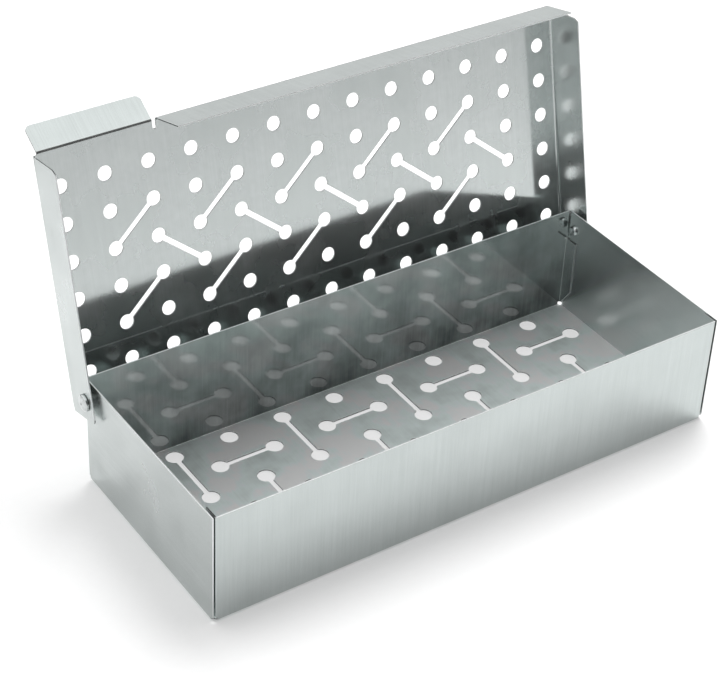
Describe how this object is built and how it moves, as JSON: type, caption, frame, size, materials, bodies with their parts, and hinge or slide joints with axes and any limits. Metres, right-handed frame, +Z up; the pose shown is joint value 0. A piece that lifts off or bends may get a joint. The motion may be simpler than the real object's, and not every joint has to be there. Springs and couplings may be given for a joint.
{
  "type": "smoker box",
  "caption": "Folded stainless steel tray for wood chips with a perforated floor and a perforated lid, hinged on rivets and standing open.",
  "frame": {"origin": "middle of the tray's underside", "axes": "+X along the box to its right end, +Y to the hinged back, +Z up"},
  "size_m": [0.3438, 0.1913, 0.196],
  "materials": {
    "stainless_sheet": "fine brushed stainless sheet, grain along the length, bright cut edges",
    "rivet_steel": "smooth satin steel"
  },
  "bodies": {
    "tray": {"tray": "stainless_sheet", "hinge_rivet_left": "rivet_steel", "hinge_rivet_right": "rivet_steel", "hinge_washer_left": "rivet_steel", "hinge_washer_right": "rivet_steel"},
    "lid": {"lid": "stainless_sheet"}
  },
  "joints": [
    {"name": "lid_hinge", "type": "hinge", "parent": "tray", "child": "lid", "pos_m": [0, 0.061, 0.0583], "axis": [1, 0, 0], "range_deg": [0, 105.9]}
  ]
}
